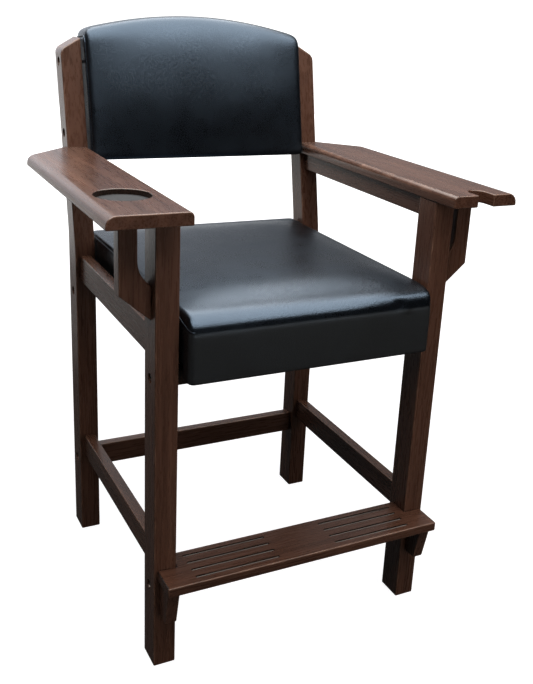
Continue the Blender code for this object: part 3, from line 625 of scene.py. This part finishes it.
def makeCoaster():
    low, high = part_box("cup_coaster")
    radius = (high[0] - low[0]) / 2
    tall = high[2] - low[2]
    lip, groove, ring = coaster["lip"], coaster["groove"], coaster["grooveRadius"]
    eased = coaster["rounding"] * lip
    profile = [(0.0, tall), (ring - 2 * groove, tall), (ring, tall - groove), (ring + 2 * groove, tall),
               (radius - lip, tall), (radius - eased, tall - eased), (radius, tall - lip),
               (radius, 0.0), (0.0, 0.0)]
    bm = spun(profile, coaster["steps"])
    bmesh.ops.translate(bm, vec=((low[0] + high[0]) / 2, (low[1] + high[1]) / 2, low[2]), verts=bm.verts)
    newPiece("coaster", meshFrom(bm, "coaster", coaster["crease"]), coasterFelt(), "coaster", "cup_coaster")


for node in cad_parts:
    if node.startswith("bolt_"):
        makeBolt(node)
makeCoaster()
print("bolts and coaster made")


# hidden pieces keep their solids

brass, ply, lining = metalFinish("insertBrass", brassSkin), corePly(), dustLining()
hidden = {"insert_": brass, "seat_frame": ply, "seat_deck": ply, "back_core": ply, "seat_dust_cover": lining}
for node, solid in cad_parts.items():
    for start, finish in hidden.items():
        if node.startswith(start):
            solid.data.materials.clear()
            solid.data.materials.append(finish)


# upholstery: a sliced block, smoothed, then puffed up under air pressure

coverCloth = {
    "quality": 6, "mass": 0.4, "stretch": 18.0, "shear": 8.0, "bend": 1.2, "frames": 20,
    "evenings": 6, "cordRounding": 3,
}
hollow = {"past": 0.02, "below": 0.01, "fit": 0.0003}


def slicedBlock(lines):
    low = Vector([way[0] for way in lines])
    high = Vector([way[-1] for way in lines])
    bm = bmesh.new()
    bmesh.ops.create_cube(bm, size=1.0)
    bmesh.ops.scale(bm, vec=high - low, verts=bm.verts)
    bmesh.ops.translate(bm, vec=(low + high) / 2, verts=bm.verts)
    for axis, way in enumerate(lines):
        normal = Vector((0.0, 0.0, 0.0))
        normal[axis] = 1.0
        for line in way[1:-1]:
            bmesh.ops.bisect_plane(bm, geom=list(bm.verts) + list(bm.edges) + list(bm.faces),
                                   dist=mending["slice"], plane_co=normal * line, plane_no=normal)
    return bm


def sliceLines(low, high, lowRoll, highRoll, cells):
    first, last = low + lowRoll, high - highRoll
    return [low] + [first + (last - first) * i / cells for i in range(cells + 1)] + [high]


def softened(bm, name, levels):
    rough = bpy.data.objects.new(name + "Rough", meshFrom(bm, name + "Rough"))
    scene.collection.objects.link(rough)
    smooth = rough.modifiers.new("soft", "SUBSURF")
    smooth.levels = smooth.render_levels = levels
    mesh = bakedMesh(rough)
    bpy.data.objects.remove(rough, do_unlink=True)
    return mesh


def puffed(mesh, hold, pressure, cap):
    # hold gives 1 where the cover is stapled or sewn down and 0 where it is free
    trial = bpy.data.objects.new("trial", mesh.copy())
    scene.collection.objects.link(trial)
    group = trial.vertex_groups.new(name="hold")
    for vert in trial.data.vertices:
        group.add([vert.index], hold(vert.co), "REPLACE")
    cloth = trial.modifiers.new("cover", "CLOTH")
    rules = cloth.settings
    rules.quality = coverCloth["quality"]
    rules.mass = coverCloth["mass"]
    rules.tension_stiffness = rules.compression_stiffness = coverCloth["stretch"]
    rules.shear_stiffness = coverCloth["shear"]
    rules.bending_stiffness = coverCloth["bend"]
    rules.use_pressure = True
    rules.uniform_pressure_force = pressure
    rules.effector_weights.gravity = 0.0
    rules.vertex_group_mass = "hold"
    cloth.collision_settings.use_self_collision = False
    cloth.point_cache.frame_start, cloth.point_cache.frame_end = 1, coverCloth["frames"]
    for step in range(1, coverCloth["frames"] + 1):
        scene.frame_set(step)
    graph = bpy.context.evaluated_depsgraph_get()
    after = [vert.co.copy() for vert in trial.evaluated_get(graph).data.vertices]
    scene.frame_set(1)
    bpy.data.objects.remove(trial, do_unlink=True)
    moves = []
    for vert, spot in zip(mesh.vertices, after):
        move = spot - vert.co
        if move.length > cap:
            move *= cap / move.length
        moves.append(move)
    return moves


def evened(mesh, moves):
    # the cover's small wrinkles are averaged out
    beside = [[] for vert in mesh.vertices]
    for edge in mesh.edges:
        first, second = edge.vertices
        beside[first].append(second)
        beside[second].append(first)
    for turn in range(coverCloth["evenings"]):
        moves = [(move + sum((moves[i] for i in near), Vector()) / len(near)) / 2
                 for move, near in zip(moves, beside)]
    return moves


def smoothStep(value, low, high):
    t = min(1.0, max(0.0, (value - low) / (high - low)))
    return t * t * (3 - 2 * t)


def easedFrom(value, base, span):
    # the span is measured from base
    return smoothStep(value, base + span[0], base + span[1])


def hollowed(piece, boxes):
    for corners in boxes:
        bm = bmesh.new()
        bmesh.ops.create_cube(bm, size=1.0)
        for vert in bm.verts:
            vert.co = corners(vert.co)
        tool = bpy.data.objects.new("hollow", meshFrom(bm, "hollow"))
        scene.collection.objects.link(tool)
        bite = piece.modifiers.new("hollow", "BOOLEAN")
        bite.operation, bite.solver, bite.object = "DIFFERENCE", "EXACT", tool
        mesh = bakedMesh(piece)
        piece.modifiers.clear()
        old, piece.data = piece.data, mesh
        bpy.data.meshes.remove(old)
        bpy.data.objects.remove(tool, do_unlink=True)


def drawnIn(mesh, path, reach, depth):
    # the cover is pulled in along a seam
    spots = [Vector(spot) for spot in path]
    normals = [vert.normal.copy() for vert in mesh.vertices]
    for vert, normal in zip(mesh.vertices, normals):
        near = min((vert.co - spot).length_squared for spot in spots) ** 0.5
        if near < reach:
            vert.co -= normal * depth * (1 - smoothStep(near, 0.0, reach))


def onSurface(mesh, guide, proud):
    tree = BVHTree.FromPolygons([v.co for v in mesh.vertices], [tuple(p.vertices) for p in mesh.polygons])
    path = []
    for spot in guide:
        place, normal = tree.find_nearest(spot)[:2]
        path.append(place + normal * proud)
    return path


def welt(name, path, radius):
    curve = bpy.data.curves.new(name, "CURVE")
    curve.dimensions = "3D"
    curve.bevel_depth = radius
    curve.bevel_resolution = coverCloth["cordRounding"]
    curve.use_fill_caps = True
    line = curve.splines.new("POLY")
    line.points.add(len(path) - 1)
    for point, spot in zip(line.points, path):
        point.co = (*spot, 1.0)
    drawn = bpy.data.objects.new(name + "Line", curve)
    scene.collection.objects.link(drawn)
    mesh = bakedMesh(drawn)
    bpy.data.objects.remove(drawn, do_unlink=True)
    smoothFaces(mesh)
    return newPiece(name, mesh, vinyl, "vinyl")


def steps(first, last, count):
    return [first + (last - first) * i / (count - 1) for i in range(count)]


# seat: a top panel over the front roll, sewn to one boxing band that runs round the sides and the front

seat = {
    "half": 0.266, "front": -0.350138, "rear": 0.291862,
    "skirt": 0.616, "base": 0.650, "edge": 0.752, "crown": 0.014,
    "frontRoll": 0.051, "sideRoll": 0.018, "hem": 0.008,
    "cornerDraw": 0.009, "drawIn": 0.003, "noseBack": 0.0025, "noseDrop": 0.0045,
    "noseLean": 0.0090, "leanRise": (-0.003, 0.026), "leanDepth": (0.040, 0.120), "leanEnd": (0.060, 0.200),
    "skirtThick": 0.030, "wall": 0.012, "deckTop": 0.716,
    "cells": (8, 9, 3), "levels": 3, "pressure": 4.0, "cap": 0.026,
    "freeTop": (-0.034, -0.004), "freeFront": (0.004, 0.044),
    "freeRear": (-0.050, -0.008), "freeSide": (-0.036, -0.004),
    "seamHigh": 0.744, "seamLow": 0.7195, "seamTurn": 0.110, "seamCurl": 1.5,
    "seamRear": 0.012, "seamInset": 0.006, "seamSteps": (90, 110), "seamReach": 0.008, "seamDepth": 0.0022,
    "weltRadius": 0.0017, "weltProud": 0.3, "weltTail": 3,
}
pucker = {"place": (0.181, -0.346, 0.727), "reach": 0.013, "depth": 0.0040,
          "bump": (0.199, -0.349, 0.7165), "bumpReach": 0.012, "swell": 0.0042}


def seatHold(spot):
    top = easedFrom(spot.z, seat["edge"], seat["freeTop"])
    ahead = easedFrom(spot.y, seat["front"], seat["freeFront"])
    behind = 1 - easedFrom(spot.y, seat["rear"], seat["freeRear"])
    inner = 1 - easedFrom(abs(spot.x), seat["half"], seat["freeSide"])
    return 1.0 - top * ahead * behind * inner


def seatPlan(spot):
    # how far across and how far back, each from -1 to 1
    middle = (seat["front"] + seat["rear"]) / 2
    return spot.x / seat["half"], (spot.y - middle) / (seat["rear"] - middle)


def seatShape(spot):
    u, v = seatPlan(spot)
    w = (2 * spot.z - seat["skirt"] - seat["edge"]) / (seat["edge"] - seat["skirt"])
    atFront = v < -mending["rim"]
    if w > mending["rim"] and atFront:
        spot.y += seat["noseBack"]
        spot.z -= seat["noseDrop"]
    if abs(u) > mending["rim"]:
        spot.x -= u * seat["drawIn"] * (1 - v * v) * (1 - w * w)
        if atFront:
            spot.x -= u * seat["cornerDraw"]
    return spot


def noseSlope(spot):
    # the roll leans back above its seam, but not at its right end
    lean = easedFrom(spot.z, seat["seamLow"], seat["leanRise"])
    near = 1 - easedFrom(spot.y, seat["front"], seat["leanDepth"])
    return seat["noseLean"] * lean * near * (1 - smoothStep(spot.x, *seat["leanEnd"]))


def seatSeam():
    # from the left rear corner along the side, round the front under the roll and back along the right side
    half, front, drop = seat["half"], seat["front"], seat["seamHigh"] - seat["seamLow"]
    sideCount, frontCount = seat["seamSteps"]
    side = []
    for y in steps(seat["rear"] - seat["seamRear"], front, sideCount):
        turned = 1 - smoothStep(y, front, front + seat["seamTurn"])
        side.append((half, y, seat["seamHigh"] - drop * turned ** seat["seamCurl"]))
    end = half - seat["seamInset"]
    across = [(x, front, seat["seamLow"]) for x in steps(-end, end, frontCount)]
    left = [(-x, y, z) for x, y, z in side]
    return [Vector(spot) for spot in left + across + side[::-1]], len(side) + seat["weltTail"]


def puckered(mesh):
    # a dimple with a small swelling beside it where the cover is gathered at the front
    places = [(Vector(pucker["place"]), pucker["reach"], -pucker["depth"]),
              (Vector(pucker["bump"]), pucker["bumpReach"], pucker["swell"])]
    normals = [vert.normal.copy() for vert in mesh.vertices]
    for vert, normal in zip(mesh.vertices, normals):
        for place, reach, move in places:
            near = (vert.co - place).length
            if near < reach:
                vert.co += normal * move * (1 - smoothStep(near, 0.0, reach))


def makeSeat():
    lines = (sliceLines(-seat["half"], seat["half"], seat["sideRoll"], seat["sideRoll"], seat["cells"][0]),
             sliceLines(seat["front"], seat["rear"], seat["frontRoll"], seat["sideRoll"], seat["cells"][1]),
             sliceLines(seat["skirt"], seat["edge"], seat["hem"], seat["frontRoll"], seat["cells"][2]))
    bm = slicedBlock(lines)
    for vert in bm.verts:
        vert.co = seatShape(vert.co.copy())
    mesh = softened(bm, "seat", seat["levels"])
    moves = evened(mesh, puffed(mesh, seatHold, seat["pressure"], seat["cap"]))
    rise = max(move.z for move in moves)
    print("seat cover rose by", round(rise * 1000, 1), "mm")
    for vert, move in zip(mesh.vertices, moves):
        vert.co += move * (seat["crown"] / rise)
        vert.co.y += noseSlope(vert.co)
    mesh.update()
    guide, ends = seatSeam()
    seam = onSurface(mesh, guide, 0.0)
    drawnIn(mesh, seam, seat["seamReach"], seat["seamDepth"])
    mesh.update()
    puckered(mesh)
    mesh.update()
    cord = onSurface(mesh, seam, seat["weltProud"] * seat["weltRadius"])
    welt("seatWeltLeft", cord[:ends], seat["weltRadius"])
    welt("seatWeltRight", cord[-ends:], seat["weltRadius"])
    smoothFaces(mesh)
    piece = newPiece("seatCover", mesh, vinyl, "vinyl", "seat_cushion")
    wide, ahead = seat["half"] + hollow["past"], seat["front"] + seat["skirtThick"]
    pocket, pocketBack = seat["half"] - seat["wall"], seat["rear"] - seat["wall"]

    def under(spot):
        return Vector((spot.x * 2 * wide, ahead if spot.y < 0 else seat["rear"] + hollow["past"],
                       seat["skirt"] - hollow["below"] if spot.z < 0 else seat["base"]))

    def inside(spot):
        return Vector((spot.x * 2 * pocket, ahead if spot.y < 0 else pocketBack,
                       seat["base"] - hollow["below"] if spot.z < 0 else seat["deckTop"] + hollow["fit"]))

    hollowed(piece, (under, inside))


makeSeat()
print("seat upholstered")


# back: the front panel runs over the arched top, with a gusset and a welt at each end

back = {
    "half": 0.264, "bottom": 0.918, "top": 1.197, "arch": 0.036,
    "front": -0.032, "rear": 0.0550, "crown": 0.014, "rearDrop": 0.008, "drawIn": 0.003,
    "frontRoll": 0.034, "sideRoll": 0.030, "topRoll": 0.042, "lowRoll": 0.018, "rearRoll": 0.018,
    "leanFrom": 0.720, "leanAt": 0.231862, "lean": 0.203452,
    "coreHalf": 0.2517, "coreFront": 0.0172, "coreBack": 0.0372, "coreLow": 0.936, "coreHigh": 1.157,
    "cells": (8, 2, 6), "levels": 3, "pressure": 4.0, "cap": 0.026, "clothShare": 0.4, "domeShare": 0.6,
    "freeFront": (0.006, 0.040), "freeSide": (-0.030, -0.002), "freeLow": (0.004, 0.030),
    "domeFront": (0.006, 0.050),
    "seam": 0.015, "seamTurn": 0.016, "seamLow": 0.004, "seamRear": 0.010, "seamSteps": (40, 14, 16),
    "seamReach": 0.007, "seamDepth": 0.0016, "weltRadius": 0.0019, "weltProud": 0.4,
}
rearPanel = {"tuck": 0.010, "roll": 0.003, "crown": 0.003, "sink": 0.002, "cells": (6, 1, 4), "levels": 3}


def leaned(spot):
    return Vector((spot.x, spot.y + back["leanAt"] + back["lean"] * (spot.z - back["leanFrom"]), spot.z))


def upright(spot):
    return Vector((spot.x, spot.y - back["leanAt"] - back["lean"] * (spot.z - back["leanFrom"]), spot.z))


def backLift(u, v):
    return back["arch"] * (1 - u * u) - back["rearDrop"] * ((v + 1) / 2) ** 2


def backShape(spot):
    u = spot.x / back["half"]
    v = (2 * spot.y - back["front"] - back["rear"]) / (back["rear"] - back["front"])
    w = (2 * spot.z - back["bottom"] - back["top"]) / (back["top"] - back["bottom"])
    if abs(u) > mending["rim"]:
        spot.x -= u * back["drawIn"] * (1 - v * v) * (1 - w * w)
    spot.z += backLift(u, v) * ((w + 1) / 2) ** 2
    return leaned(spot)


def backHold(spot):
    flat = upright(spot)
    front = 1 - easedFrom(flat.y, back["front"], back["freeFront"])
    inner = 1 - easedFrom(abs(flat.x), back["half"], back["freeSide"])
    low = easedFrom(flat.z, back["bottom"], back["freeLow"])
    return 1.0 - front * inner * low


def backDome(spot):
    # the panel is fullest at half height and falls away to its edges
    flat = upright(spot)
    u = flat.x / back["half"]
    tall = back["top"] + back["arch"] * (1 - u * u) - back["bottom"]
    up = min(1.0, max(0.0, (flat.z - back["bottom"]) / tall))
    ahead = 1 - easedFrom(flat.y, back["front"], back["domeFront"])
    return 4 * up * (1 - up) * (1 - u ** 4) * ahead


def backSeam(side):
    x = side * back["half"]
    ahead, turn = back["front"] + back["seam"], back["seamTurn"]
    high = back["top"] - back["seam"]
    riseCount, turnCount, overCount = back["seamSteps"]
    guide = [Vector((x, ahead, z)) for z in steps(back["bottom"] + back["seamLow"], high - turn, riseCount)]
    for angle in steps(0.0, math.pi / 2, turnCount)[1:]:
        guide.append(Vector((x, ahead + turn - turn * math.cos(angle), high - turn + turn * math.sin(angle))))
    for y in steps(ahead + turn, back["rear"] - back["seamRear"], overCount)[1:]:
        deep = (y - back["front"]) / (back["rear"] - back["front"])
        guide.append(Vector((x, y, high - back["rearDrop"] * deep ** 2)))
    return [leaned(spot) for spot in guide]


def makeBack():
    side = back["sideRoll"]
    lines = (sliceLines(-back["half"], back["half"], side, side, back["cells"][0]),
             sliceLines(back["front"], back["rear"], back["frontRoll"], back["rearRoll"], back["cells"][1]),
             sliceLines(back["bottom"], back["top"], back["lowRoll"], back["topRoll"], back["cells"][2]))
    bm = slicedBlock(lines)
    for vert in bm.verts:
        vert.co = backShape(vert.co.copy())
    mesh = softened(bm, "back", back["levels"])
    moves = evened(mesh, puffed(mesh, backHold, back["pressure"], back["cap"]))
    rise = max(-move.y for move in moves)
    print("back cover rose by", round(rise * 1000, 1), "mm")
    for vert, move in zip(mesh.vertices, moves):
        settled = move * (back["clothShare"] / rise) - Vector((0, back["domeShare"], 0))
        vert.co += settled * (back["crown"] * backDome(vert.co))
    mesh.update()
    seams = [onSurface(mesh, backSeam(side), 0.0) for side in (-1, 1)]
    for seam in seams:
        drawnIn(mesh, seam, back["seamReach"], back["seamDepth"])
    mesh.update()
    for side, seam in zip(("Left", "Right"), seams):
        path = onSurface(mesh, seam, back["weltProud"] * back["weltRadius"])
        welt("backWelt" + side, path, back["weltRadius"])
    smoothFaces(mesh)
    piece = newPiece("backCover", mesh, vinyl, "vinyl", "back_cushion")
    fit = hollow["fit"]

    def inside(spot):
        low, high = back["coreLow"] - fit, back["coreHigh"] + fit
        return leaned(Vector((spot.x * 2 * (back["coreHalf"] + fit),
                              back["coreFront"] - fit if spot.y < 0 else back["rear"] + hollow["past"],
                              low if spot.z < 0 else high)))

    hollowed(piece, (inside,))


def makeRearPanel():
    # the panel that closes the back, a little crowned, its edges tucked in
    half, low, high = back["coreHalf"], back["coreLow"], back["coreHigh"]
    front, rear = back["coreBack"] + hollow["fit"], back["rear"]
    tuck, roll, cells = rearPanel["tuck"], rearPanel["roll"], rearPanel["cells"]
    bm = slicedBlock((sliceLines(-half, half, tuck, tuck, cells[0]),
                      sliceLines(front, rear, roll, roll, cells[1]),
                      sliceLines(low, high, tuck, tuck, cells[2])))
    for vert in bm.verts:
        if vert.co.y > rear - mending["touch"]:
            u, w = vert.co.x / half, (2 * vert.co.z - low - high) / (high - low)
            vert.co.y += rearPanel["crown"] * (1 - u * u) * (1 - w * w) - rearPanel["sink"]
        vert.co = leaned(vert.co.copy())
    mesh = softened(bm, "rearPanel", rearPanel["levels"])
    smoothFaces(mesh)
    piece = newPiece("rearPanel", mesh, vinyl, "vinyl", "back_cover")


makeBack()
makeRearPanel()
print("back upholstered")

scene.view_settings.view_transform = "Standard"
scene.view_settings.exposure = 0.25
scene.view_settings.gamma = 0.88
